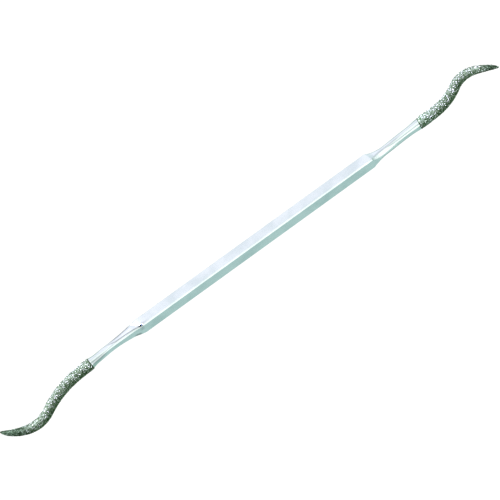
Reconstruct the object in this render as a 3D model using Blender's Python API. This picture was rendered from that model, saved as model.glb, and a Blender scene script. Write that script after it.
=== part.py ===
"""A double-ended riffler file: one steel blank with a diamond coat on each bent, round end.

The grip is a square bar along X. Behind each shoulder a ground neck runs from square to round, and the
working end beyond it bends out and hooks back in the horizontal plane. The longer end points to -X and
bends towards -Y, the shorter one points to +X and bends towards +Y. The origin is the middle of the
grip's lower flat. Lengths are in metres and angles in degrees.
"""

import math

import bmesh
import bpy
from mathutils import Matrix, Vector

# Grip
GRIP_LENGTH = 0.068
GRIP_SIDE = 0.003
GRIP_EDGE_RADIUS = 0.0002

# Neck of the longer end, from its shoulder outwards
LONG_SHOULDER_LENGTH = 0.0105
LONG_SHOULDER_EASE = 2.04
LONG_SLANT_BACK = 0.37
LONG_SLANT_DOWN = 0.20
LONG_WAIST_SIDE = 0.001915
LONG_WAIST_ROUNDING = 0.6
LONG_NECK_DIAMETER = 0.00229
LONG_NECK_LENGTH = 0.016
LONG_FLARE_LENGTH = 0.002
LONG_SEAT_LENGTH = 0.0002
LONG_OFFSET_Y = -0.00014
LONG_OFFSET_Z = 0.00014
LONG_OFFSET_START = 0.0007
LONG_OFFSET_RISE = 0.0023
LONG_OFFSET_HOLD = 0.0071
LONG_LEAN_START = 0.010
LONG_LEAN_ANGLE = 4.5

# Bends of the longer end: out from the axis, round the back of the hook, and in towards the tip
LONG_LEAD = 0.004
LONG_OUT_RADIUS = 0.021
LONG_OUT_ANGLE = 32.4
LONG_BACK_RADIUS = 0.0067
LONG_BACK_ANGLE = 55.3
LONG_TIP_RADIUS = 0.0137
LONG_TIP_ANGLE = 34.6

# Coat of the longer end
LONG_ROOT_DIAMETER = 0.00315
LONG_BEND_DIAMETER = 0.00275
LONG_NOSE_LENGTH = 0.0125
LONG_EDGE_LENGTH = 0.0003

# Neck of the shorter end
SHORT_SHOULDER_LENGTH = 0.0036
SHORT_SHOULDER_EASE = 1.7
SHORT_SLANT_BACK = -0.25
SHORT_SLANT_DOWN = -0.10
SHORT_WAIST_SIDE = 0.00204
SHORT_WAIST_ROUNDING = 0.75
SHORT_NECK_DIAMETER = 0.0023
SHORT_NECK_LENGTH = 0.0145
SHORT_FLARE_LENGTH = 0.004
SHORT_SEAT_LENGTH = 0.0008
SHORT_OFFSET_Y = -0.0001
SHORT_OFFSET_Z = -0.0001
SHORT_OFFSET_START = 0.0
SHORT_OFFSET_RISE = 0.0015
SHORT_OFFSET_HOLD = 0.002
SHORT_LEAN_START = 0.003
SHORT_LEAN_ANGLE = 1.7

# Bends of the shorter end
SHORT_LEAD = 0.0046
SHORT_OUT_RADIUS = 0.0135
SHORT_OUT_ANGLE = 36.2
SHORT_BACK_RADIUS = 0.0057
SHORT_BACK_ANGLE = 66.1
SHORT_TIP_RADIUS = 0.021
SHORT_TIP_ANGLE = 17.5

# Coat of the shorter end
SHORT_ROOT_DIAMETER = 0.00315
SHORT_BEND_DIAMETER = 0.0027
SHORT_NOSE_LENGTH = 0.012
SHORT_EDGE_LENGTH = 0.0012

# Both ends
LEAN_RADIUS = 0.040
COAT_WALL = 0.0002
COAT_EDGE_WALL = 0.00008
COAT_GAP = 0.00002
CORE_POINT_GAP = 0.00003
NOSE_POWER = 1.5
SMALLEST_CORE_RADIUS = 0.0001

# How finely the forms are divided
CORNER_POINTS = 5
SHOULDER_RINGS = 10
NECK_RINGS = 8
FLARE_RINGS = 5
RING_SPACING = 0.0014
RING_TURN = 8.0
NOSE_STEP_SHARE = 0.22
LAST_RING_TO_TIP = 0.00008
SHARP_ANGLE = 30.0


class End:
    """One end of the file in its own frame: X points outwards from the shoulder and Y the way it bends."""

    def __init__(self, neck, bends, coat):
        self.front = neck["front"]
        self.shoulder_length, self.ease = neck["shoulder"]
        self.slant_back, self.slant_down = neck["slant"]
        self.waist_side, self.waist_rounding = neck["waist"]
        self.neck_diameter, self.neck_length, self.flare_length, self.seat_length = neck["run"]
        self.offset_y, self.offset_z = neck["offset"]
        self.offset_start, self.offset_rise, self.offset_hold = neck["offset_run"]
        lean_start, lean_angle = neck["lean"]
        self.root_diameter, self.bend_diameter, self.nose_length, self.edge_length = coat
        lean = bend(LEAN_RADIUS, lean_angle)
        lead, out, back, tip = bends
        after_lean = self.neck_length - lean_start - lean[0] + lead
        self.path = [(lean_start, 0.0), lean, (after_lean, 0.0), out, back, tip]
        self.coat_length = lead + out[0] + back[0] + tip[0]

    def place(self, distance):
        """The centreline's matrix that far past the shoulder: its X axis runs along the centreline."""
        x = y = heading = 0.0
        for length, turn in self.path:
            run = min(distance, length)
            angle = turn * run / length
            chord = run if angle == 0 else 2 * run / angle * math.sin(angle / 2)
            x += chord * math.cos(heading + angle / 2)
            y += chord * math.sin(heading + angle / 2)
            heading += angle
            distance -= run
        return Matrix.Translation((x, y, 0)) @ Matrix.Rotation(heading, 4, "Z")

    def bend_radius(self, distance):
        """The centreline's radius there, or infinity on a straight run."""
        for length, turn in self.path:
            if distance < length and turn:
                return length / abs(turn)
            if distance < length:
                return math.inf
            distance -= length
        return math.inf

    def neck_section(self, distance):
        """Half width and rounding of the ground neck, that far past the shoulder."""
        grip_rounding = 2 * GRIP_EDGE_RADIUS / GRIP_SIDE
        flare_start = self.neck_length - self.flare_length
        if distance <= self.shoulder_length:
            share = distance / self.shoulder_length
            depth = 1 - (1 - share) ** self.ease
            side = mix(GRIP_SIDE, self.waist_side, depth)
            return side / 2, mix(grip_rounding, self.waist_rounding, depth)
        if distance <= flare_start:
            share = eased((distance - self.shoulder_length) / (flare_start - self.shoulder_length))
            side = mix(self.waist_side, self.neck_diameter, share)
            return side / 2, mix(self.waist_rounding, 1.0, share)
        share = min((distance - flare_start) / (self.flare_length - self.seat_length), 1.0)
        return mix(self.neck_diameter / 2, self.core_radius(0.0), share**2), 1.0

    def neck_centre(self, distance):
        """How far the hand-ground neck's middle lies off the centreline there, across and upwards."""
        fade = self.neck_length - self.flare_length - self.offset_hold
        share = eased((distance - self.offset_start) / self.offset_rise)
        share *= 1 - eased((distance - self.offset_hold) / fade)
        return self.offset_y * share, self.offset_z * share

    def neck_slant(self, distance, y, z):
        """How far along a point is moved, so that the shoulder starts at a slant behind and below its top
        front edge."""
        behind = GRIP_SIDE / 2 - self.front * y
        below = GRIP_SIDE / 2 - z
        fade = 1 - eased(distance / self.shoulder_length)
        return (self.slant_back * behind + self.slant_down * below) * fade

    def coat_radius(self, distance):
        """Outer radius of the full coat, that far past its edge: a slow taper, then a rounded nose."""
        nose_start = self.coat_length - self.nose_length
        radius = mix(self.root_diameter, self.bend_diameter, min(distance / nose_start, 1.0)) / 2
        into_nose = min(max(distance - nose_start, 0.0) / self.nose_length, 1.0)
        return radius * math.sqrt(1 - into_nose**NOSE_POWER)

    def coat_surface(self, distance):
        """Outer radius with the thinner, ramped edge that plating has where it was masked off."""
        missing = 1 - min(distance / self.edge_length, 1.0)
        return self.coat_radius(distance) - missing * (COAT_WALL - COAT_EDGE_WALL)

    def bore_radius(self, distance):
        return self.coat_radius(distance) - COAT_WALL

    def core_radius(self, distance):
        return self.bore_radius(distance) - COAT_GAP

    def neck_distances(self):
        """Where the neck's sections lie, from the shoulder to just short of the coat's edge."""
        flare_start = self.neck_length - self.flare_length
        stretches = [
            (0.0, self.shoulder_length, SHOULDER_RINGS),
            (self.shoulder_length, flare_start, NECK_RINGS),
            (flare_start, self.neck_length, FLARE_RINGS),
        ]
        return [mix(start, stop, ring / rings) for start, stop, rings in stretches for ring in range(rings)]

    def coat_distances(self):
        """Where the coat's sections lie past its edge: closer in a tight bend and at the nose."""
        distances = [0.0, self.edge_length]
        left = self.coat_length - self.edge_length
        while left > LAST_RING_TO_TIP:
            turn_step = math.radians(RING_TURN) * self.bend_radius(self.neck_length + distances[-1])
            distances.append(distances[-1] + min(RING_SPACING, turn_step, NOSE_STEP_SHARE * left))
            left = self.coat_length - distances[-1]
        return distances

    def core_distances(self):
        """The coat's sections as far as the core is thick enough to reach."""
        return [d for d in self.coat_distances() if self.core_radius(d) > SMALLEST_CORE_RADIUS]

    def bore_end(self):
        """Where the bore comes to its point, that far past the shoulder."""
        last = self.core_distances()[-1]
        return self.neck_length + last + self.bore_radius(last) / 2

    def ring(self, bm, distance, half, rounding=1.0, inwards=False):
        """Vertices of one section, counter-clockwise about the way the loft runs."""
        side = -1 if inwards else 1
        place = self.place(distance)
        across, up = self.neck_centre(distance)
        vertices = []
        for y, z in outline(half, rounding):
            y *= side
            point = Vector((self.neck_slant(distance, y, z), y + across, z + up))
            vertices.append(bm.verts.new(place @ point))
        return vertices

    def pole(self, bm, distance):
        return bm.verts.new(self.place(distance) @ Vector((0, 0, 0)))


def bend(radius, degrees):
    """Length and turn of an arc; a negative angle bends it back."""
    turn = math.radians(degrees)
    return radius * abs(turn), turn


def mix(start, stop, share):
    return start + (stop - start) * share


def eased(share):
    """A share from 0 to 1 that starts and ends gently, and stays there outside."""
    share = min(max(share, 0.0), 1.0)
    return share * share * (3 - 2 * share)


def outline(half, rounding):
    """A square of that half side with rounded corners, down to a circle when rounding is 1."""
    radius = half * rounding
    step = math.radians(90) / (CORNER_POINTS - 1 + rounding)
    points = []
    for corner in range(4):
        middle = math.radians(45 + 90 * corner)
        reach = math.sqrt(2) * (half - radius)
        for index in range(CORNER_POINTS):
            angle = middle + (index - (CORNER_POINTS - 1) / 2) * step
            y = reach * math.cos(middle) + radius * math.cos(angle)
            z = reach * math.sin(middle) + radius * math.sin(angle)
            points.append((y, z))
    return points


def skin(bm, first, second):
    """Faces between two sections, facing out when the second lies further along the loft."""
    count = len(first)
    for i in range(count):
        j = (i + 1) % count
        bm.faces.new((first[i], first[j], second[j], second[i]))


def loft(bm, rings):
    for first, second in zip(rings, rings[1:]):
        skin(bm, first, second)


def close(bm, ring, pole, at_start):
    """A cone of faces from the last section to the point that ends it."""
    count = len(ring)
    for i in range(count):
        a, b = ring[i], ring[(i + 1) % count]
        bm.faces.new((b, a, pole) if at_start else (a, b, pole))


def blank_rings(bm, end, inwards):
    """The sections of the blank from one shoulder to the tip of its core, and the tip's point."""
    rings = []
    for distance in end.neck_distances():
        half, rounding = end.neck_section(distance)
        rings.append(end.ring(bm, distance, half, rounding, inwards))
    for distance in end.core_distances():
        rings.append(end.ring(bm, end.neck_length + distance, end.core_radius(distance), 1.0, inwards))
    return rings, end.pole(bm, end.bore_end() - CORE_POINT_GAP)


def steel_blank(long_end, short_end, material):
    """The whole steel piece as one loft from the longer end's tip to the shorter end's."""
    bm = bmesh.new()
    long_rings, long_pole = blank_rings(bm, long_end, inwards=True)
    turned = Matrix.Translation((-GRIP_LENGTH / 2, 0, 0)) @ Matrix.Rotation(math.pi, 4, "Z")
    bmesh.ops.transform(bm, matrix=turned, verts=bm.verts)
    long_count = len(bm.verts)
    short_rings, short_pole = blank_rings(bm, short_end, inwards=False)
    moved = Matrix.Translation((GRIP_LENGTH / 2, 0, 0))
    bm.verts.ensure_lookup_table()
    bmesh.ops.transform(bm, matrix=moved, verts=bm.verts[long_count:])
    rings = long_rings[::-1] + short_rings
    close(bm, rings[0], long_pole, at_start=True)
    loft(bm, rings)
    close(bm, rings[-1], short_pole, at_start=False)
    return finished(bm, "steel_blank", material)


def diamond_coat(name, end, material):
    """A sleeve closed at its tip, plated over one core, with a flat ring of an edge at the neck."""
    bm = bmesh.new()
    outer = []
    for distance in end.coat_distances():
        outer.append(end.ring(bm, end.neck_length + distance, end.coat_surface(distance)))
    bore = []
    for distance in end.core_distances():
        bore.append(end.ring(bm, end.neck_length + distance, end.bore_radius(distance)))
    loft(bm, outer)
    close(bm, outer[-1], end.pole(bm, end.neck_length + end.coat_length), at_start=False)
    loft(bm, bore[::-1])
    close(bm, bore[-1], end.pole(bm, end.bore_end()), at_start=True)
    skin(bm, bore[0], outer[0])
    return finished(bm, name, material)


def finished(bm, name, material):
    mesh = bpy.data.meshes.new(name)
    bm.to_mesh(mesh)
    bm.free()
    mesh.materials.append(material)
    mesh.shade_smooth()
    mesh.set_sharp_from_angle(angle=math.radians(SHARP_ANGLE))
    piece = bpy.data.objects.new(name, mesh)
    bpy.context.scene.collection.objects.link(piece)
    return piece


def metal(name, colour, roughness, metallic):
    material = bpy.data.materials.new(name)
    material.use_nodes = True
    shader = material.node_tree.nodes["Principled BSDF"]
    shader.inputs["Base Color"].default_value = (*colour, 1.0)
    shader.inputs["Roughness"].default_value = roughness
    shader.inputs["Metallic"].default_value = metallic
    return material


def clear_scene():
    for thing in list(bpy.data.objects):
        bpy.data.objects.remove(thing, do_unlink=True)


def long_end():
    neck = {
        "front": 1,
        "shoulder": (LONG_SHOULDER_LENGTH, LONG_SHOULDER_EASE),
        "slant": (LONG_SLANT_BACK, LONG_SLANT_DOWN),
        "waist": (LONG_WAIST_SIDE, LONG_WAIST_ROUNDING),
        "run": (LONG_NECK_DIAMETER, LONG_NECK_LENGTH, LONG_FLARE_LENGTH, LONG_SEAT_LENGTH),
        "offset": (LONG_OFFSET_Y, LONG_OFFSET_Z),
        "offset_run": (LONG_OFFSET_START, LONG_OFFSET_RISE, LONG_OFFSET_HOLD),
        "lean": (LONG_LEAN_START, LONG_LEAN_ANGLE),
    }
    out = bend(LONG_OUT_RADIUS, LONG_OUT_ANGLE)
    back = bend(LONG_BACK_RADIUS, -LONG_BACK_ANGLE)
    tip = bend(LONG_TIP_RADIUS, -LONG_TIP_ANGLE)
    coat = LONG_ROOT_DIAMETER, LONG_BEND_DIAMETER, LONG_NOSE_LENGTH, LONG_EDGE_LENGTH
    return End(neck, (LONG_LEAD, out, back, tip), coat)


def short_end():
    neck = {
        "front": -1,
        "shoulder": (SHORT_SHOULDER_LENGTH, SHORT_SHOULDER_EASE),
        "slant": (SHORT_SLANT_BACK, SHORT_SLANT_DOWN),
        "waist": (SHORT_WAIST_SIDE, SHORT_WAIST_ROUNDING),
        "run": (SHORT_NECK_DIAMETER, SHORT_NECK_LENGTH, SHORT_FLARE_LENGTH, SHORT_SEAT_LENGTH),
        "offset": (SHORT_OFFSET_Y, SHORT_OFFSET_Z),
        "offset_run": (SHORT_OFFSET_START, SHORT_OFFSET_RISE, SHORT_OFFSET_HOLD),
        "lean": (SHORT_LEAN_START, SHORT_LEAN_ANGLE),
    }
    out = bend(SHORT_OUT_RADIUS, SHORT_OUT_ANGLE)
    back = bend(SHORT_BACK_RADIUS, -SHORT_BACK_ANGLE)
    tip = bend(SHORT_TIP_RADIUS, -SHORT_TIP_ANGLE)
    coat = SHORT_ROOT_DIAMETER, SHORT_BEND_DIAMETER, SHORT_NOSE_LENGTH, SHORT_EDGE_LENGTH
    return End(neck, (SHORT_LEAD, out, back, tip), coat)


def main():
    clear_scene()
    riffler = bpy.data.objects.new("riffler", None)
    bpy.context.scene.collection.objects.link(riffler)
    riffler.location = (0, 0, GRIP_SIDE / 2)

    steel = metal("ground_steel", (0.74, 0.79, 0.80), 0.32, 1.0)
    ends = long_end(), short_end()
    blank = steel_blank(*ends, steel)
    blank.parent = riffler

    long_grit = metal("diamond_grit_long", (0.34, 0.39, 0.34), 0.7, 0.5)
    long_coat = diamond_coat("diamond_coat_long", ends[0], long_grit)
    long_coat.parent = riffler
    long_coat.location = (-GRIP_LENGTH / 2, 0, 0)
    long_coat.rotation_euler = (0, 0, math.pi)

    short_grit = metal("diamond_grit_short", (0.40, 0.45, 0.40), 0.7, 0.5)
    short_coat = diamond_coat("diamond_coat_short", ends[1], short_grit)
    short_coat.parent = riffler
    short_coat.location = (GRIP_LENGTH / 2, 0, 0)


main()
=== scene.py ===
import math

import bmesh
import bpy
from mathutils import Matrix, Vector, noise


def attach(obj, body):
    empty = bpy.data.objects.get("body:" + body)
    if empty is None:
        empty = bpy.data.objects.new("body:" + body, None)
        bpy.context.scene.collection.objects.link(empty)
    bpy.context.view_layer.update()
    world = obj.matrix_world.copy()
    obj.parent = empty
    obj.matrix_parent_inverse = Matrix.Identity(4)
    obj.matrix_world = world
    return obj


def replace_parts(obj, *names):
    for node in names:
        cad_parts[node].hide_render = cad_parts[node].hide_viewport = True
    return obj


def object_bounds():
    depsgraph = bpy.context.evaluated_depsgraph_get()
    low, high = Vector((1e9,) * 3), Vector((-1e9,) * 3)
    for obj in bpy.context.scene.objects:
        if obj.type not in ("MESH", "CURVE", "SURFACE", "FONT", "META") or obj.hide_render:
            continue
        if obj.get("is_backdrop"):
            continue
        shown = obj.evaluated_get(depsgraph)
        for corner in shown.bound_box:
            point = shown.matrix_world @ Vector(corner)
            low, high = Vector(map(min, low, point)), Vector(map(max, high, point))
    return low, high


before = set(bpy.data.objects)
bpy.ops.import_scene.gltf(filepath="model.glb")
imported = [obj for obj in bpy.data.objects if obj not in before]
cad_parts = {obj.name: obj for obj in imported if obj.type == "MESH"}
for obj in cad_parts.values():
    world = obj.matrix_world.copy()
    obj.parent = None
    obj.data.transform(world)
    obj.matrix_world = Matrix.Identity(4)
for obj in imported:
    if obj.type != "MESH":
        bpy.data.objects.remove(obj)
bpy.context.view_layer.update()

mm = 0.001                      # sizes below are in millimetres and degrees, the scene is in metres
print("frame loaded:", sorted(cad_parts))

grip = {
    "length": 68.0,
    "side": 3.0,
    "edgeRadius": 0.2,
    "bevel": (0.24, 0.34),      # of the top front edge, on top and in front
    "bevelSoftness": 0.3,       # 0 gives the bevel sharp borders
}
coat = {
    "wall": 0.2,
    "edgeWall": 0.08,
    "gap": 0.02,                # between the coat and the core
    "nosePower": 1.5,           # more makes the nose blunter
}

# how far behind the front face the facet in the longer neck starts, as (distance from the shoulder, value)
facetBorder = [(0.0, 0.30), (3.0, 0.40), (5.0, 0.50), (8.0, 0.55), (12.0, 1.7)]

# the two ends of the file, each in its own frame: outwards from the shoulder, bending towards +Y
longEnd = {
    "facing": 180.0,            # the longer end points to -X
    "front": 1,                 # the sign of its own Y on the file's front
    "shoulder": 10.5,           # from the grip's section to the waist
    "ease": 2.04,               # how steeply the shoulder starts
    "waist": 1.915,
    "waistRounding": 0.6,       # 0 is square and 1 is round
    "slant": (0.37, 0.20),      # it starts later by these shares behind and below its top front edge
    "neck": 16.0,               # from the grip to the coat
    "neckDiameter": 2.29,
    "flare": 2.0,               # over this length the neck takes the core's size
    "seat": 0.2,                # and has it this far before the coat
    "offset": (-0.14, 0.14),    # the neck is ground off the middle, across and up
    "offsetRun": (0.7, 2.3, 7.1),   # where that starts, how long it takes, and where it begins to end
    "lean": (10.0, 40.0, 4.5),  # where the neck leans, with its radius and its angle
    "lead": 4.0,                # the straight start of the coat
    "bends": [(21.0, 32.4), (6.7, -55.3), (13.7, -34.6)],   # radius and angle
    "root": 3.15,               # the coat's diameter at its edge
    "bendDiameter": 2.75,       # and where its nose starts
    "nose": 12.5,
    "edge": 0.3,                # over this length the coat gets its full wall
    "edgeSlant": 0.0,           # how far along the coat's edge shifts, for each millimetre across
    "coverRamp": 0.3,           # over this length the grit thins out towards the coat's edge
    "paleEdge": 0.0,            # the coat is paler up to about this far from its edge
    "pale": 0.0,                # and this much all over, partly its own tone and partly painted light
    "tipShadeRun": 11.5,            # and in painted shade over this length at its tip
    "ridge": (7.0, 13.0),       # the bevel of the top front edge goes round between these two places
    "bevel": [(0.0, 1.0), (3.0, 1.3)],   # its width before that, as (distance, share of the grip's)
    "facet": {                  # the shallow cut in the upper side
        "slant": 0.8,           # it starts later by this share behind its border
        "ramp": 0.35,           # its step is this long
        "fade": (8.5, 12.4),    # it runs out between these two places
        "depth": 0.10,
        "wall": 0.13,           # how wide the step beside its border is
        "lowest": 0.3,          # it stays above this share of the neck's half height
        "nick": {"deeper": 1.3, "at": 0.4, "reach": 0.3},
    },
    "shadeBands": [   # painted shade and painted dark reflection in the corners and creases of the grinding, as bandsAt reads them
        {"by": "behind", "line": facetBorder, "width": 0.22, "run": (0.1, 0.3, 7.0, 12.0), "full": 0.61},
        {"by": "behind", "line": [(0.0, 0.56), (1.6, 0.42)], "width": 0.38,
         "run": (-0.1, 0.14, 0.6, 1.4), "full": 1.0},
        {"by": "behind", "line": [(0.0, 0.25), (2.3, 3.1)], "width": 0.13,
         "run": (0.0, 0.2, 2.0, 2.6), "full": 0.37},
        {"by": "turn", "line": [(2.0, -48.0), (10.0, -34.0)], "width": 20.0,
         "run": (2.2, 3.2, 7.0, 11.0), "full": 0.66},
        {"by": "turn", "line": [(0.0, 62.0)], "width": 26.0, "run": (10.5, 13.0, 15.5, 16.0), "full": 0.41},
        {"by": "turn", "line": [(0.0, 125.0)], "width": 14.0, "run": (0.9, 1.6, 2.4, 3.4), "full": 0.57},
    ],
    "satinAndLight": [],                # bands of duller steel, paler as painted light
    "seed": 11,
}
shortEnd = {
    "facing": 0.0,
    "front": -1,
    "shoulder": 3.6,
    "ease": 1.7,
    "waist": 2.04,
    "waistRounding": 0.75,
    "slant": (-0.25, -0.10),
    "neck": 14.5,
    "neckDiameter": 2.30,
    "flare": 4.0,
    "seat": 0.8,
    "offset": (-0.10, -0.10),
    "offsetRun": (0.0, 1.5, 2.0),
    "lean": (3.0, 40.0, 1.7),
    "lead": 4.6,
    "bends": [(13.5, 36.2), (5.7, -66.1), (21.0, -17.5)],
    "root": 3.15,
    "bendDiameter": 2.70,
    "nose": 12.0,
    "edge": 1.2,
    "edgeSlant": 0.19,
    "coverRamp": 1.6,
    "paleEdge": 3.5,
    # partly painted light: the short coat is paler all over
    "pale": 0.2,
    # painted shade at the tip
    "tipShadeRun": 5.5,
    "ridge": (3.0, 9.0),
    "bevel": [(0.0, 1.2), (2.1, 2.6)],
    "facet": None,
    # painted shade and painted dark reflection along the short neck's grinding
    "shadeBands": [
        {"by": "behind", "line": [(0.0, 0.5), (2.1, 0.8)], "width": 0.2,
         "run": (0.0, 2.0, 6.0, 11.0), "full": 0.33},
        {"by": "turn", "line": [(0.0, 122.0)], "width": 12.0, "run": (1.5, 3.0, 10.0, 14.5), "full": 0.57},
    ],
    # duller steel, paler as painted light, on the short neck's lower front
    "satinAndLight": [
        {"by": "turn", "line": [(0.0, 78.0)], "width": 42.0, "run": (0.8, 2.4, 6.0, 11.0), "full": 1.0},
    ],
    "seed": 23,
}


def mix(start, stop, share):
    return start + (stop - start) * share


def eased(share):   # from 0 to 1 with a soft start and end
    share = min(max(share, 0.0), 1.0)
    return share * share * (3 - 2 * share)


def along(line, distance):   # a value read off a short list of (distance, value)
    value = line[0][1]
    for (first, low), (second, high) in zip(line, line[1:]):
        if distance > first:
            value = mix(low, high, min((distance - first) / (second - first), 1.0))
    return value


def bendRuns(end):   # the length and turn of each bend
    return [(radius * math.radians(abs(angle)), math.radians(angle)) for radius, angle in end["bends"]]


def pathOf(end):   # straight runs and arcs as (length, turn), from the shoulder to the tip
    leanStart, leanRadius, leanAngle = end["lean"]
    leanLength = leanRadius * math.radians(leanAngle)
    straight = end["neck"] - leanStart - leanLength + end["lead"]
    return [(leanStart, 0.0), (leanLength, math.radians(leanAngle)), (straight, 0.0)] + bendRuns(end)


def coatLength(end):
    return end["lead"] + sum(length for length, _ in bendRuns(end))


def placeOn(end, distance):   # the centreline there, in metres and in the object's frame
    x = y = heading = 0.0
    for length, turn in pathOf(end):
        run = min(distance, length)
        angle = turn * run / length
        chord = run if angle == 0 else 2 * run / angle * math.sin(angle / 2)
        x += chord * math.cos(heading + angle / 2)
        y += chord * math.sin(heading + angle / 2)
        heading += angle
        distance -= run
    shoulder = Matrix.Translation((grip["length"] / 2 * mm, 0, 0))
    local = Matrix.Translation((x * mm, y * mm, 0)) @ Matrix.Rotation(heading, 4, "Z")
    turned = Matrix.Rotation(math.radians(end["facing"]), 4, "Z")
    return Matrix.Translation((0, 0, grip["side"] / 2 * mm)) @ turned @ shoulder @ local


def coatRadius(end, distance):   # the coat's outside, that far past its edge
    noseStart = coatLength(end) - end["nose"]
    radius = mix(end["root"], end["bendDiameter"], min(distance / noseStart, 1.0)) / 2
    intoNose = min(max(distance - noseStart, 0.0) / end["nose"], 1.0)
    return radius * math.sqrt(1 - intoNose ** coat["nosePower"])


def coreRadius(end, distance):
    return coatRadius(end, distance) - coat["wall"] - coat["gap"]


def neckSection(end, distance):   # half width and rounding of the ground neck
    gripRounding = 2 * grip["edgeRadius"] / grip["side"]
    flareStart = end["neck"] - end["flare"]
    if distance <= end["shoulder"]:
        depth = 1 - (1 - distance / end["shoulder"]) ** end["ease"]
        return mix(grip["side"], end["waist"], depth) / 2, mix(gripRounding, end["waistRounding"], depth)
    if distance <= flareStart:
        share = eased((distance - end["shoulder"]) / (flareStart - end["shoulder"]))
        return mix(end["waist"], end["neckDiameter"], share) / 2, mix(end["waistRounding"], 1.0, share)
    share = min((distance - flareStart) / (end["flare"] - end["seat"]), 1.0)
    return mix(end["neckDiameter"] / 2, coreRadius(end, 0.0), share ** 2), 1.0


def neckCentre(end, distance):   # how far the ground neck's middle lies off the centreline
    start, rise, hold = end["offsetRun"]
    fade = end["neck"] - end["flare"] - hold
    share = eased((distance - start) / rise) * (1 - eased((distance - hold) / fade))
    return end["offset"][0] * share, end["offset"][1] * share


def slantAt(end, distance, y, z):   # how far along a point is moved, so that the shoulder starts at a slant
    back, down = end["slant"]
    half = grip["side"] / 2
    return (back * (half - end["front"] * y) + down * (half - z)) * (1 - eased(distance / end["shoulder"]))


def keepPiece(obj):   # every piece rides on the one body
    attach(obj, "root")
    return obj


def meshPiece(name, points, faces, material, smooth=True):
    mesh = bpy.data.meshes.new(name)
    mesh.from_pydata(points, [], faces)
    mesh.materials.append(material)
    if smooth:
        mesh.shade_smooth()
    mesh.update()
    obj = bpy.data.objects.new(name, mesh)
    bpy.context.scene.collection.objects.link(obj)
    return obj


def giveTraits(obj, names, traits):   # stores a number for each point and name, for the materials and trees
    for index, name in enumerate(names):
        attribute = obj.data.attributes.new(name, "FLOAT", "POINT")
        attribute.data.foreach_set("value", [trait[index] for trait in traits])


def ringFaces(rings, count):   # quads between neighbouring sections of count points
    faces = []
    for ring in range(rings - 1):
        base = ring * count
        for i in range(count):
            j = (i + 1) % count
            faces.append((base + i, base + j, base + count + j, base + count + i))
    return faces


# nodes that the materials and the trees share

def node(nodes, kind, **inputs):   # a node with its sockets set by name, spaces in names as underscores
    made = nodes.new(kind)
    for name, value in inputs.items():
        made.inputs[name.replace("_", " ")].default_value = value
    return made


def feed(links, value, socket):   # a socket is linked, anything else is set
    if isinstance(value, bpy.types.NodeSocket):
        links.new(value, socket)
    else:
        socket.default_value = value


def mathOf(nodes, links, operation, *values):
    made = nodes.new("ShaderNodeMath")
    made.operation = operation
    for value, socket in zip(values, made.inputs):
        feed(links, value, socket)
    return made.outputs[0]


def rangeOf(nodes, links, value, **limits):   # a value carried over from one range to another
    made = node(nodes, "ShaderNodeMapRange", **limits)
    links.new(value, made.inputs["Value"])
    return made


def blended(nodes, links, blend, share, colour, tint):   # a colour or socket, blended with a tint by a share
    made = nodes.new("ShaderNodeMix")
    made.data_type = "RGBA"
    made.blend_type = blend
    links.new(share, made.inputs[0])   # and its colours go in at 6 and 7 and come out at 2
    feed(links, colour if isinstance(colour, bpy.types.NodeSocket) else (*colour, 1.0), made.inputs[6])
    made.inputs[7].default_value = (*tint, 1.0)
    return made.outputs[2]


def rampOf(nodes, links, value, stops):
    ramp = nodes.new("ShaderNodeValToRGB")
    while len(ramp.color_ramp.elements) < len(stops):
        ramp.color_ramp.elements.new(0.5)
    for element, (position, colour) in zip(ramp.color_ramp.elements, stops):
        element.position = position
        element.color = (*colour, 1.0)
    links.new(value, ramp.inputs["Fac"])
    return ramp.outputs["Color"]


# materials

def newMaterial(name):
    material = bpy.data.materials.new(name)
    material.use_nodes = True
    return material, material.node_tree.nodes, material.node_tree.links


def attributeOf(nodes, name):
    attribute = nodes.new("ShaderNodeAttribute")
    attribute.attribute_name = name
    return attribute.outputs["Fac"]


def noiseOf(nodes, links, place, **inputs):
    grain = node(nodes, "ShaderNodeTexNoise", **inputs)
    links.new(place, grain.inputs["Vector"])
    return grain.outputs["Fac"]


def roughen(nodes, links, height, strength, depth, shader):
    bump = node(nodes, "ShaderNodeBump", Strength=strength, Distance=depth)
    links.new(height, bump.inputs["Height"])
    links.new(bump.outputs["Normal"], shader.inputs["Normal"])


steelTraits = ("onEdge", "onNeck", "paintedShade", "satinAndLight")   # the blank's attributes, each from 0 to 1
steelFinish = {
    "tones": [(0.35, (0.60, 0.69, 0.70)), (0.62, (0.70, 0.775, 0.785))],   # from slightly stained to clean
    "mottleScale": 260,
    "metallic": 1.0,
    "edgeRoughness": 0.10,
    "flatRoughness": 0.12,
    "scratchRoughness": 0.08,        # what the scratches add
    "satinRoughness": 0.25,          # and what the duller bands add
    # the paler colour of the duller bands is painted light
    "satinPaintedLight": (0.78, 0.84, 0.84),
    # how dark the painted shade bands make the steel
    "shadeBandTint": (0.01, 0.02, 0.03),
    "drawScale": (350, 9000, 9000),  # lines drawn along the bar, per metre
    "grindScale": (9000, 700, 700),  # scratches round the necks
    "bumpStrength": 0.5,
    "bumpDepth": 0.00002,
}


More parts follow.
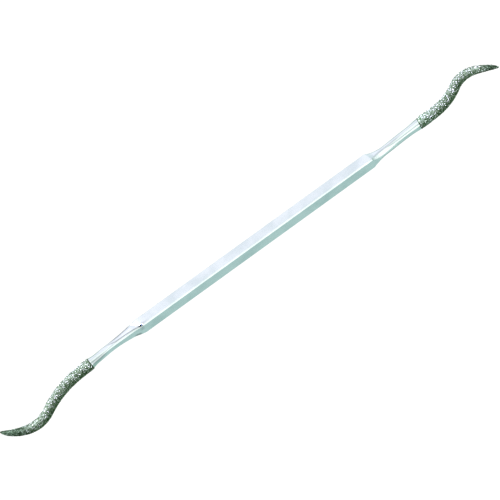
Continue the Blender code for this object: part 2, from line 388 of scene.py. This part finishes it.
def steelMaterial():
    finish = steelFinish
    material, nodes, links = newMaterial("groundSteel")
    shader = nodes["Principled BSDF"]
    shader.inputs["Metallic"].default_value = finish["metallic"]
    place = nodes.new("ShaderNodeTexCoord").outputs["Object"]
    onEdge, onNeck, paintedShade, satinAndLight = [attributeOf(nodes, name) for name in steelTraits]

    def lines(scale, detail):
        mapping = node(nodes, "ShaderNodeMapping", Scale=scale)
        links.new(place, mapping.inputs["Vector"])
        return noiseOf(nodes, links, mapping.outputs["Vector"], Scale=1.0, Detail=detail, Roughness=0.6)

    scratches = nodes.new("ShaderNodeMix")
    links.new(onNeck, scratches.inputs["Factor"])
    links.new(lines(finish["drawScale"], 3.0), scratches.inputs["A"])
    links.new(lines(finish["grindScale"], 2.0), scratches.inputs["B"])
    scratches = scratches.outputs[0]

    mottle = noiseOf(nodes, links, place, Scale=finish["mottleScale"], Detail=4.0, Roughness=0.55)
    colour = rampOf(nodes, links, mottle, finish["tones"])
    # paler as painted light where the duller bands lie
    colour = blended(nodes, links, "MIX", satinAndLight, colour, finish["satinPaintedLight"])
    # painted shade and painted dark reflection where the shade bands lie
    colour = blended(nodes, links, "MULTIPLY", paintedShade, colour, finish["shadeBandTint"])
    links.new(colour, shader.inputs["Base Color"])

    worn = rangeOf(nodes, links, onEdge, To_Min=finish["flatRoughness"], To_Max=finish["edgeRoughness"])
    rough = worn.outputs["Result"]
    rough = mathOf(nodes, links, "MULTIPLY_ADD", scratches, finish["scratchRoughness"], rough)
    rough = mathOf(nodes, links, "MULTIPLY_ADD", satinAndLight, finish["satinRoughness"], rough)
    links.new(rough, shader.inputs["Roughness"])
    roughen(nodes, links, scratches, finish["bumpStrength"], finish["bumpDepth"], shader)
    return material


plateFinish = {
    "tones": [(0.38, (0.025, 0.055, 0.02)), (0.66, (0.17, 0.23, 0.16))],
    # painted shade at the coat's tip and rim
    "coatShadeTint": (0.12, 0.17, 0.12),
    # paler near the edge, and partly painted light all over the short coat
    "paleTint": (1.5, 1.5, 1.65),
    "metallic": 0.5,
    "roughness": 0.5,
    "specular": 0.05,
    "blotchScale": 1500,
    "fineScale": 9000,
    "bumpStrength": 0.8,
    "bumpDepth": 0.00003,
}
gritFinish = {
    "tones": [(0.0, (0.008, 0.022, 0.006)), (0.38, (0.045, 0.08, 0.038)), (0.65, (0.17, 0.22, 0.16)),
              (1.0, (0.70, 0.75, 0.74))],
    # painted shade at the coat's tip and rim
    "coatShadeTint": (0.30, 0.42, 0.30),
    # paler near the edge, and partly painted light all over the short coat
    "paleTint": (1.4, 1.4, 1.5),
    "metallic": 0.5,
    "roughness": 0.42,
    "specular": 0.15,
    "cloudScale": 4000,
    "cloudShare": 0.3,      # how much of a grain's tone varies within it
}


def coatMaterial(name, finish):   # what nickel and grit have in common
    material, nodes, links = newMaterial(name)
    shader = nodes["Principled BSDF"]
    shader.inputs["Metallic"].default_value = finish["metallic"]
    shader.inputs["Roughness"].default_value = finish["roughness"]
    shader.inputs["Specular IOR Level"].default_value = finish["specular"]
    return material, nodes, links, shader, nodes.new("ShaderNodeTexCoord").outputs["Object"]


def shaded(nodes, links, colour, finish):   # painted shade where the shade attribute is -1, paler where it is 1, which is partly painted light
    shade = attributeOf(nodes, "shade")
    for full, tint in ((-1.0, finish["coatShadeTint"]), (1.0, finish["paleTint"])):
        much = rangeOf(nodes, links, shade, From_Max=full).outputs["Result"]
        colour = blended(nodes, links, "MULTIPLY", much, colour, tint)
    return colour


def plateMaterial():   # nickel between the grains
    finish = plateFinish
    material, nodes, links, shader, place = coatMaterial("nickelPlate", finish)
    blotch = noiseOf(nodes, links, place, Scale=finish["blotchScale"], Detail=5.0, Roughness=0.6)
    colour = rampOf(nodes, links, blotch, finish["tones"])
    links.new(shaded(nodes, links, colour, finish), shader.inputs["Base Color"])
    fine = noiseOf(nodes, links, place, Scale=finish["fineScale"], Detail=2.0)
    roughen(nodes, links, fine, finish["bumpStrength"], finish["bumpDepth"], shader)
    return material


def gritMaterial():   # diamond grains, each with a tone of its own
    finish = gritFinish
    material, nodes, links, shader, place = coatMaterial("diamondGrit", finish)
    cloud = noiseOf(nodes, links, place, Scale=finish["cloudScale"], Detail=3.0)
    tone = mathOf(nodes, links, "MULTIPLY_ADD", cloud, finish["cloudShare"], attributeOf(nodes, "grainTone"))
    tone = mathOf(nodes, links, "SUBTRACT", tone, finish["cloudShare"] / 2)
    colour = rampOf(nodes, links, tone, finish["tones"])
    links.new(shaded(nodes, links, colour, finish), shader.inputs["Base Color"])
    return material


groundSteel = steelMaterial()
nickelPlate = plateMaterial()
diamondGrit = gritMaterial()
print("materials made")

# the steel blank, tip to tip

blank = {
    "cornerPoints": 9,
    "ridgeCorner": 1,       # the top front one, counted from the top back one
    "flatPoints": 22,
    "gripStep": 2.0,
    "neckStep": 0.16,
    "coreStep": 0.8,
    "coreStop": 0.35,       # the core ends where its radius has come down to this
    "scratchTurn": 0.8,     # over this length the scratches turn from along the bar to round the neck
}


def sectionOutline(half, rounding, roundRidge, widened=1.0):   # points (y, z, edge share) round one section
    corners, flats = blank["cornerPoints"], blank["flatPoints"]
    radius = half * rounding
    reach = math.sqrt(2) * (half - radius)
    step = math.radians(90) / (corners - 1 + rounding)
    onTop, inFront = (width * widened for width in grip["bevel"])
    arcs = []
    for corner in range(4):
        middle = math.radians(45 + 90 * corner)
        arc = []
        for index in range(corners):
            angle = middle + (index - (corners - 1) / 2) * step
            y = reach * math.cos(middle) + radius * math.cos(angle)
            z = reach * math.sin(middle) + radius * math.sin(angle)
            if corner == blank["ridgeCorner"]:   # a bevel with soft borders, where the neck isn't round yet
                share = index / (corners - 1)
                share = mix(share, eased(share), grip["bevelSoftness"])
                y = mix(-half + onTop * (1 - share), y, roundRidge)
                z = mix(half - inFront * share, z, roundRidge)
            arc.append((y, z))
        arcs.append(arc)
    points = []
    for corner in range(4):
        arc, following = arcs[corner], arcs[(corner + 1) % 4]
        points += [(y, z, 1.0) for y, z in arc]
        for index in range(1, flats + 1):
            share = index / (flats + 1)
            y = mix(arc[-1][0], following[0][0], share)
            z = mix(arc[-1][1], following[0][1], share)
            points.append((y, z, 0.0))
    return points


def facetDepth(end, distance, y, z, half):   # the cut in the upper flat, with a steep step beside its border
    cut = end["facet"]
    if not cut or z < half * cut["lowest"]:
        return 0.0
    past = half - end["front"] * y - along(facetBorder, distance)   # how far behind the border it lies
    start, stop = cut["fade"]
    nick = cut["nick"]
    into = eased((distance - cut["slant"] * past) / cut["ramp"])
    out = 1 - eased((distance - start) / (stop - start))
    wall = eased(past / cut["wall"] + 0.5)
    near = math.exp(-((distance - nick["at"]) / nick["reach"]) ** 2 - (past / nick["reach"]) ** 2)
    return cut["depth"] * into * out * wall * (1 + nick["deeper"] * near) * eased(z / half)


# Each band follows a line of (distance, place). The place is how far behind the front it lies, on the upper
# side, or its turn from the top towards the front. Its run says where it begins, is full, fades and is gone.
def bandsAt(end, kind, distance, y, z, half):   # how strong the neck's bands of one kind are at a point
    places = {"turn": math.degrees(math.atan2(end["front"] * y, z))}
    if z >= 0:
        places["behind"] = half - end["front"] * y
    strength = 0.0
    for band in end[kind]:
        if band["by"] in places:
            off = (places[band["by"]] - along(band["line"], distance)) / band["width"]
            begin, full, fading, gone = band["run"]
            rise = eased((distance - begin) / (full - begin))
            fall = eased((distance - fading) / (gone - fading))
            strength += band["full"] * rise * (1 - fall) * math.exp(-off ** 2)
    return min(strength, 1.0)


def blankRing(end, distance, inwards, points, traits):
    flip = -1 if inwards else 1   # keeps the sections of both ends turning the same way
    neck = end["neck"]
    if distance < neck:
        half, rounding = neckSection(end, distance)
    else:
        half, rounding = coreRadius(end, distance - neck), 1.0
    across, up = neckCentre(end, distance)
    onNeck = eased(distance / blank["scratchTurn"])
    start, stop = end["ridge"]
    roundRidge = eased((distance - start) / (stop - start))
    place = placeOn(end, distance)
    for y, z, edge in sectionOutline(half, rounding, roundRidge, along(end["bevel"], distance)):
        y *= flip
        # painted shade and painted dark reflection along the grinding's corners
        paintedShade = bandsAt(end, "shadeBands", distance, y, z, half)
        # duller steel, paler as painted light
        satinAndLight = bandsAt(end, "satinAndLight", distance, y, z, half)
        x = slantAt(end, distance, y, z)
        z -= facetDepth(end, distance, y, z, half)
        points.append(place @ Vector((x * mm, (y + across) * mm, (z + up) * mm)))
        traits.append((edge, onNeck, paintedShade, satinAndLight))


def blankStations(end):
    stations = []
    distance = 0.0
    while distance < end["neck"]:
        stations.append(distance)
        distance += blank["neckStep"]
    distance = 0.0
    while coreRadius(end, distance) > blank["coreStop"]:
        stations.append(end["neck"] + distance)
        distance += blank["coreStep"]
    return stations


def steelBlank():
    points, traits = [], []
    count = 4 * (blank["cornerPoints"] + blank["flatPoints"])
    for distance in reversed(blankStations(longEnd)):
        blankRing(longEnd, distance, True, points, traits)
    between = int(grip["length"] / blank["gripStep"])
    half = grip["side"] / 2
    for index in range(1, between):   # the grip's own sections, from one slanted shoulder to the other
        for y, z, edge in sectionOutline(half, 2 * grip["edgeRadius"] / grip["side"], 0.0):
            start = -grip["length"] / 2 - slantAt(longEnd, 0.0, -y, z)
            stop = grip["length"] / 2 + slantAt(shortEnd, 0.0, y, z)
            points.append(Vector((mix(start, stop, index / between) * mm, y * mm, (z + half) * mm)))
            traits.append((edge, 0.0, 0.0, 0.0))
    for distance in blankStations(shortEnd):
        blankRing(shortEnd, distance, False, points, traits)
    rings = len(points) // count
    faces = ringFaces(rings, count)
    faces.append(tuple(reversed(range(count))))
    faces.append(tuple(range((rings - 1) * count, rings * count)))
    obj = meshPiece("steelBlank", points, faces, groundSteel)
    giveTraits(obj, steelTraits, traits)
    return obj


blankPiece = keepPiece(steelBlank())
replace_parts(blankPiece, "steel_blank")
print("steel blank:", len(blankPiece.data.polygons), "faces")

# the coats: a lumpy skin of nickel, and the grains that stand out of it

skin = {
    "around": 56,
    "step": 0.16,
    "tipShare": 0.25,       # near the tip a step is this share of what is left
    "tipGap": 0.12,         # and the last section stands this far before it
    "below": 0.07,          # the nickel lies this far under the coat's full size
    "rimBelow": 0.4,        # and this share of it at the rim
    "slantRun": 3.0,        # over this length the slant of the coat's edge runs out
    "rimShadeRun": 0.35,       # painted shade along the coat's rim, over this length
    "lumpSize": 0.35,
    "lumpHeight": 0.05,
}
grains = {
    "size": 0.22,
    "spacing": 0.14,
    "perSquare": 40.0,      # grains per square millimetre before spacing thins them
    "smallest": 0.6,
    "largest": 1.35,
    "uneven": (0.8, 1.15),  # how much a grain is squeezed or drawn out along each of its axes
    "sunk": 0.2,            # the grain's middle lies this share of its size under the nickel
    "shapes": 4,
    "corner": 0.36,         # how far out a crystal's corners lie, for a size of 1
    "wobble": 0.09,         # and how far they are moved at random
    "wobbleScale": 7.0,
    "wobbleShift": (5.3, 1.7),   # where the random moves are read, one shift for each shape
    "wobbleSeed": 3,
}


def newTree(name, inputs):   # a tree with its named inputs as (name, kind), a way in and a way out
    tree = bpy.data.node_groups.new(name, "GeometryNodeTree")
    for word, kind in [("Geometry", "Geometry")] + inputs:
        tree.interface.new_socket(word, in_out="INPUT", socket_type="NodeSocket" + kind)
    tree.interface.new_socket("Geometry", in_out="OUTPUT", socket_type="NodeSocketGeometry")
    given = tree.nodes.new("NodeGroupInput").outputs
    return tree, tree.nodes, tree.links, given, tree.nodes.new("NodeGroupOutput").inputs["Geometry"]


def scaled(nodes, links, vector, share):
    made = nodes.new("ShaderNodeVectorMath")
    made.operation = "SCALE"
    links.new(vector, made.inputs[0])
    links.new(share, made.inputs["Scale"])
    return made.outputs[0]


def shifted(nodes, links, geometry, offset):
    made = nodes.new("GeometryNodeSetPosition")
    links.new(geometry, made.inputs["Geometry"])
    links.new(offset, made.inputs["Offset"])
    return made.outputs["Geometry"]


def dressed(nodes, links, geometry, material, result):   # sets the material and ends the tree
    made = nodes.new("GeometryNodeSetMaterial")
    links.new(geometry, made.inputs["Geometry"])
    links.new(material, made.inputs["Material"])
    links.new(made.outputs["Geometry"], result)


def skinTree():   # lumps the nickel, with its sizes as named inputs
    tree, nodes, links, given, result = newTree("lumpySkin", [
        ("Lump size", "Float"), ("Lump height", "Float"), ("Seed", "Float"), ("Plate", "Material")])
    lump = node(nodes, "ShaderNodeTexNoise", Detail=2.0)
    lump.noise_dimensions = "4D"
    links.new(mathOf(nodes, links, "DIVIDE", 1.0, given["Lump size"]), lump.inputs["Scale"])
    links.new(given["Seed"], lump.inputs["W"])
    centred = mathOf(nodes, links, "SUBTRACT", lump.outputs["Fac"], 0.5)
    height = mathOf(nodes, links, "MULTIPLY", centred, given["Lump height"])
    normal = nodes.new("GeometryNodeInputNormal").outputs["Normal"]
    moved = shifted(nodes, links, given["Geometry"], scaled(nodes, links, normal, height))
    dressed(nodes, links, moved, given["Plate"], result)
    return tree


def gritTree():   # scatters grains over a skin, with its sizes as named inputs
    numbers = [(word, "Float") for word in ("Size", "Spacing", "Density", "Smallest", "Largest", "Sunk")]
    tree, nodes, links, given, result = newTree("gritCover", [
        ("Shapes", "Collection"), *numbers, ("Seed", "Int"), ("Grit", "Material")])

    cover = node(nodes, "GeometryNodeInputNamedAttribute", Name="cover")
    cover.data_type = "FLOAT"
    spots = nodes.new("GeometryNodeDistributePointsOnFaces")
    spots.distribute_method = "POISSON"
    links.new(given["Geometry"], spots.inputs["Mesh"])
    links.new(given["Spacing"], spots.inputs["Distance Min"])
    links.new(given["Density"], spots.inputs["Density Max"])
    links.new(cover.outputs["Attribute"], spots.inputs["Density Factor"])
    links.new(given["Seed"], spots.inputs["Seed"])

    depth = mathOf(nodes, links, "MULTIPLY", given["Size"], given["Sunk"])
    down = scaled(nodes, links, spots.outputs["Normal"], mathOf(nodes, links, "MULTIPLY", depth, -1.0))
    sunk = shifted(nodes, links, spots.outputs["Points"], down)

    shapes = node(nodes, "GeometryNodeCollectionInfo", Separate_Children=True, Reset_Children=True)
    links.new(given["Shapes"], shapes.inputs["Collection"])

    def randomOf(kind, low, high, shift):
        value = nodes.new("FunctionNodeRandomValue")
        value.data_type = kind
        links.new(mathOf(nodes, links, "ADD", given["Seed"], shift), value.inputs["Seed"])
        first, made = (0, 0) if kind == "FLOAT_VECTOR" else (2, 1)   # the sockets of each kind
        value.inputs[first].default_value = low
        value.inputs[first + 1].default_value = high
        return value.outputs[made]

    narrow, wide = grains["uneven"]
    turn = randomOf("FLOAT_VECTOR", (0, 0, 0), (2 * math.pi,) * 3, 1)
    uneven = randomOf("FLOAT_VECTOR", (narrow,) * 3, (wide,) * 3, 2)
    spread = randomOf("FLOAT", 0.0, 1.0, 3)
    tone = randomOf("FLOAT", 0.0, 1.0, 4)
    between = rangeOf(nodes, links, spread)
    links.new(given["Smallest"], between.inputs["To Min"])
    links.new(given["Largest"], between.inputs["To Max"])
    size = mathOf(nodes, links, "MULTIPLY", between.outputs["Result"], given["Size"])

    placed = node(nodes, "GeometryNodeInstanceOnPoints", Pick_Instance=True)
    links.new(sunk, placed.inputs["Points"])
    links.new(shapes.outputs[0], placed.inputs["Instance"])
    links.new(turn, placed.inputs["Rotation"])
    links.new(scaled(nodes, links, uneven, size), placed.inputs["Scale"])
    toned = node(nodes, "GeometryNodeStoreNamedAttribute", Name="grainTone")
    toned.data_type = "FLOAT"
    toned.domain = "INSTANCE"
    links.new(placed.outputs["Instances"], toned.inputs["Geometry"])
    links.new(tone, toned.inputs["Value"])
    real = nodes.new("GeometryNodeRealizeInstances")
    links.new(toned.outputs["Geometry"], real.inputs["Geometry"])
    dressed(nodes, links, real.outputs["Geometry"], given["Grit"], result)
    return tree


def grainShapes():   # blocky crystals one unit across, cut by random flats, in a collection of their own
    shelf = bpy.data.collections.new("grainShapes")
    corners = [(1, 1, 0), (1, -1, 0), (-1, 1, 0), (-1, -1, 0), (1, 0, 1), (1, 0, -1),
               (-1, 0, 1), (-1, 0, -1), (0, 1, 1), (0, 1, -1), (0, -1, 1), (0, -1, -1)]
    across, aside = grains["wobbleShift"]
    noise.seed_set(grains["wobbleSeed"])   # without a seed the noise lies elsewhere at each run
    for number in range(grains["shapes"]):
        bm = bmesh.new()
        for corner in corners:
            point = Vector(corner) * grains["corner"]
            wobble = noise.noise_vector(point * grains["wobbleScale"] + Vector((number * across, aside, 0)))
            bm.verts.new(point + wobble * grains["wobble"])
        bmesh.ops.convex_hull(bm, input=bm.verts)
        mesh = bpy.data.meshes.new("grainShape%d" % number)
        bm.to_mesh(mesh)
        bm.free()
        shelf.objects.link(bpy.data.objects.new("grainShape%d" % number, mesh))
    return shelf


def runTree(obj, tree, values, name):   # evaluates one tree on obj and returns a plain mesh object
    modifier = obj.modifiers.new(tree.name, "NODES")
    modifier.node_group = tree
    for item in tree.interface.items_tree:
        if item.in_out == "INPUT" and item.name in values:
            modifier[item.identifier] = values[item.name]
    depsgraph = bpy.context.evaluated_depsgraph_get()
    mesh = bpy.data.meshes.new_from_object(obj.evaluated_get(depsgraph))
    obj.modifiers.remove(modifier)
    made = bpy.data.objects.new(name, mesh)
    mesh.name = name
    bpy.context.scene.collection.objects.link(made)
    return made


def shadeAt(end, distance):   # -1 for painted shade at the coat's tip and rim, up to 1 where it is paler, which is partly painted light
    left = coatLength(end) - distance
    nearEdge = 1 - eased(distance / end["paleEdge"] - 0.5) if end["paleEdge"] else 0.0
    shade = mix(mix(end["pale"], 1.0, nearEdge), -1.0, eased(2 - 2 * left / end["tipShadeRun"]))
    return mix(-1.0, shade, eased(distance / skin["rimShadeRun"]))


def skinSurface(end, name):   # the nickel's smooth form, closed at the coat's edge and at its tip
    whole, around = coatLength(end), skin["around"]
    stations = [0.0, end["edge"] / 2]
    while whole - stations[-1] > skin["tipGap"]:
        stations.append(stations[-1] + min(skin["step"], skin["tipShare"] * (whole - stations[-1])))
    rows = [(0.0, coreRadius(end, 0.0) + coat["gap"] / 2, 0.0)]
    for distance in stations:
        missing = 1 - min(distance / end["edge"], 1.0)
        radius = coatRadius(end, distance) - missing * (coat["wall"] - coat["edgeWall"])
        under = min(skin["below"], radius / 2) * mix(1.0, skin["rimBelow"], missing)
        rows.append((distance, radius - under, min(distance / end["coverRamp"], 1.0)))
    points, traits = [], []
    for distance, radius, cover in rows:
        place = placeOn(end, end["neck"] + distance)
        slant = end["edgeSlant"] * (1 - eased(distance / skin["slantRun"]))
        shade = shadeAt(end, distance)
        for index in range(around):
            angle = 2 * math.pi * index / around
            y, z = radius * math.cos(angle), radius * math.sin(angle)
            points.append(place @ Vector((slant * y * mm, y * mm, z * mm)))
            traits.append((cover, shade))
    faces = ringFaces(len(rows), around)
    tip, last = len(points), len(points) - around
    points.append(placeOn(end, end["neck"] + whole - skin["below"]).to_translation())
    # the tip point: full cover, in painted shade
    traits.append((1.0, -1.0))
    faces += [(last + i, last + (i + 1) % around, tip) for i in range(around)]
    faces.append(tuple(reversed(range(around))))
    obj = meshPiece(name, points, faces, nickelPlate)
    giveTraits(obj, ("cover", "shade"), traits)
    return obj


lumpySkin = skinTree()
gritCover = gritTree()
shapeShelf = grainShapes()


def diamondCoat(end, word):
    plain = skinSurface(end, word + "Plain")
    nickel = runTree(plain, lumpySkin, {
        "Lump size": skin["lumpSize"] * mm,
        "Lump height": skin["lumpHeight"] * mm,
        "Seed": float(end["seed"]),
        "Plate": nickelPlate,
    }, word + "Nickel")
    grit = runTree(nickel, gritCover, {
        "Shapes": shapeShelf,
        "Size": grains["size"] * mm,
        "Spacing": grains["spacing"] * mm,
        "Density": grains["perSquare"] / mm ** 2,
        "Smallest": grains["smallest"],
        "Largest": grains["largest"],
        "Sunk": grains["sunk"],
        "Seed": end["seed"],
        "Grit": diamondGrit,
    }, word + "Grit")
    bpy.data.objects.remove(plain)
    nickel.data.shade_smooth()
    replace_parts(keepPiece(nickel), "diamond_coat_" + word)
    keepPiece(grit)
    print(word, "coat:", len(nickel.data.polygons), "skin faces,", len(grit.data.polygons), "grain faces")


diamondCoat(longEnd, "long")
diamondCoat(shortEnd, "short")

# floor, light and camera

studio = {
    "floorSize": 6.0,                    # in metres
    "floorGap": 0.01,                    # under the file
    "seen": (1.08, 1.08, 1.08),          # what the camera sees of floor and surroundings
    "floorGlow": (0.567, 0.749, 0.715),  # and what the file sees of the floor
    "coatShadowGlow": (0.14, 0.38, 0.13),      # painted shadow: the floor is darker round the coats, which stand low over it
    "coatShadowFrom": (47.0, 54.0),        # how far out from the middle it darkens
    "dome": [(0.48, (0.53, 0.70, 0.65)), (0.56, (0.59, 0.73, 0.68)), (1.0, (0.60, 0.70, 0.68))],
    "panels": [   # where each lies, how many degrees it spreads (full, none) and what it adds
        {"towards": (0.0, 0.66, 0.75), "spread": (8, 30), "glow": (0.38, 0.27, 0.34)},
        {"towards": (0.0, 0.94, 0.34), "spread": (5, 30), "glow": (0.33, 0.24, 0.30)},
        {"towards": (-0.45, 0.62, 0.65), "spread": (8, 32), "glow": (0.29, 0.25, 0.29)},
        {"towards": (0.50, 0.57, 0.65), "spread": (10, 36), "glow": (0.32, 0.28, 0.36)},
        {"towards": (0.0, -0.14, 1.0), "spread": (14, 34), "glow": (0.80, 0.70, 0.68)},
        {"towards": (-0.10, -0.93, 0.36), "spread": (12, 27), "glow": (0.92, 0.79, 0.79)},
        {"towards": (0.45, -0.84, 0.32), "spread": (10, 24), "glow": (0.85, 0.74, 0.76)},
    ],
    "keyPower": 128.0,
    "keyColour": (1.0, 0.86, 1.18),
    "keySize": 0.5,                      # in metres, as its place
    "keyPlace": (-0.85, 0.50, 1.22),
}
lens = {
    "focal": 200.0,
    "elevation": 49.4,
    "roll": 35.83,
    "frameWidth": 121.2,    # what the frame's width takes in at the file's distance
    "aimAlong": -2.67,
    "aimAcross": -0.58,
    "clip": (0.01, 20.0),   # in metres
}


def seenOrNot(nodes, links, seen, other, output):   # one look for the camera, another for all other rays
    path = nodes.new("ShaderNodeLightPath")
    either = nodes.new("ShaderNodeMixShader")
    links.new(path.outputs["Is Camera Ray"], either.inputs[0])
    links.new(other.outputs[0], either.inputs[1])
    links.new(seen.outputs[0], either.inputs[2])
    links.new(either.outputs[0], output.inputs["Surface"])


def splitPlace(nodes, links, coordinates):   # the parts of a place as separate sockets
    apart = nodes.new("ShaderNodeSeparateXYZ")
    links.new(coordinates, apart.inputs[0])
    return apart.outputs


def paleFloor():
    half = studio["floorSize"] / 2
    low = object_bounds()[0].z - studio["floorGap"] * mm
    corners = [(-half, -half, low), (half, -half, low), (half, half, low), (-half, half, low)]
    near, far = studio["coatShadowFrom"]
    material, nodes, links = newMaterial("paleFloor")
    nodes.remove(nodes["Principled BSDF"])
    place = splitPlace(nodes, links, nodes.new("ShaderNodeTexCoord").outputs["Object"])
    outwards = mathOf(nodes, links, "ABSOLUTE", place["X"])
    much = rangeOf(nodes, links, outwards, From_Min=near * mm, From_Max=far * mm).outputs["Result"]
    bounce = node(nodes, "ShaderNodeEmission", Strength=1.0)
    # painted shadow round the coats, seen by all rays but the camera's
    glow = blended(nodes, links, "MIX", much, studio["floorGlow"], studio["coatShadowGlow"])
    links.new(glow, bounce.inputs["Color"])
    seen = node(nodes, "ShaderNodeEmission", Color=(*studio["seen"], 1.0), Strength=1.0)
    seenOrNot(nodes, links, seen, bounce, nodes["Material Output"])
    meshPiece("floor", corners, [(0, 1, 2, 3)], material, smooth=False)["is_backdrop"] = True


def softDome():
    world = bpy.data.worlds.new("softDome")
    world.use_nodes = True
    bpy.context.scene.world = world
    nodes, links = world.node_tree.nodes, world.node_tree.links
    place = nodes.new("ShaderNodeTexCoord").outputs["Generated"]
    height = rangeOf(nodes, links, splitPlace(nodes, links, place)["Z"], From_Min=-1.0)
    glow = rampOf(nodes, links, height.outputs["Result"], studio["dome"])
    for panel in studio["panels"]:
        towards = nodes.new("ShaderNodeVectorMath")
        towards.operation = "DOT_PRODUCT"
        towards.inputs[1].default_value = Vector(panel["towards"]).normalized()
        links.new(place, towards.inputs[0])
        full, none = (math.cos(math.radians(angle)) for angle in panel["spread"])
        much = rangeOf(nodes, links, towards.outputs["Value"], From_Min=none, From_Max=full)
        much.interpolation_type = "SMOOTHSTEP"
        glow = blended(nodes, links, "ADD", much.outputs["Result"], glow, panel["glow"])
    light = nodes["Background"]
    links.new(glow, light.inputs["Color"])
    seen = node(nodes, "ShaderNodeBackground", Color=(*studio["seen"], 1.0), Strength=1.0)
    seenOrNot(nodes, links, seen, light, nodes["World Output"])


def keyLight():
    lamp = bpy.data.lights.new("keyLight", "AREA")
    lamp.energy = studio["keyPower"]
    lamp.color = studio["keyColour"]
    lamp.size = studio["keySize"]
    obj = bpy.data.objects.new("keyLight", lamp)
    obj.location = studio["keyPlace"]
    obj.rotation_euler = (-Vector(studio["keyPlace"])).to_track_quat("-Z", "Y").to_euler()
    obj.visible_camera = False
    bpy.context.scene.collection.objects.link(obj)


def photoCamera():
    up, roll = math.radians(lens["elevation"]), math.radians(lens["roll"])
    back = Vector((0, -math.cos(up), math.sin(up)))
    level, over = Vector((1, 0, 0)), Vector((0, math.sin(up), math.cos(up)))
    right = math.cos(roll) * level - math.sin(roll) * over
    top = math.sin(roll) * level + math.cos(roll) * over
    data = bpy.data.cameras.new("photoCamera")
    data.lens = lens["focal"]
    data.clip_start, data.clip_end = lens["clip"]
    distance = lens["frameWidth"] * mm * data.lens / data.sensor_width
    axis = Vector((lens["aimAlong"] * mm, 0, grip["side"] / 2 * mm))
    aim = axis + over * lens["aimAcross"] * mm
    cam = bpy.data.objects.new("photoCamera", data)
    turn = Matrix((right, top, back)).transposed().to_4x4()
    cam.matrix_world = Matrix.Translation(aim + back * distance) @ turn
    bpy.context.scene.collection.objects.link(cam)
    bpy.context.scene.camera = cam


paleFloor()
softDome()
keyLight()
photoCamera()
bpy.context.scene.view_settings.view_transform = "Standard"
print("studio ready")
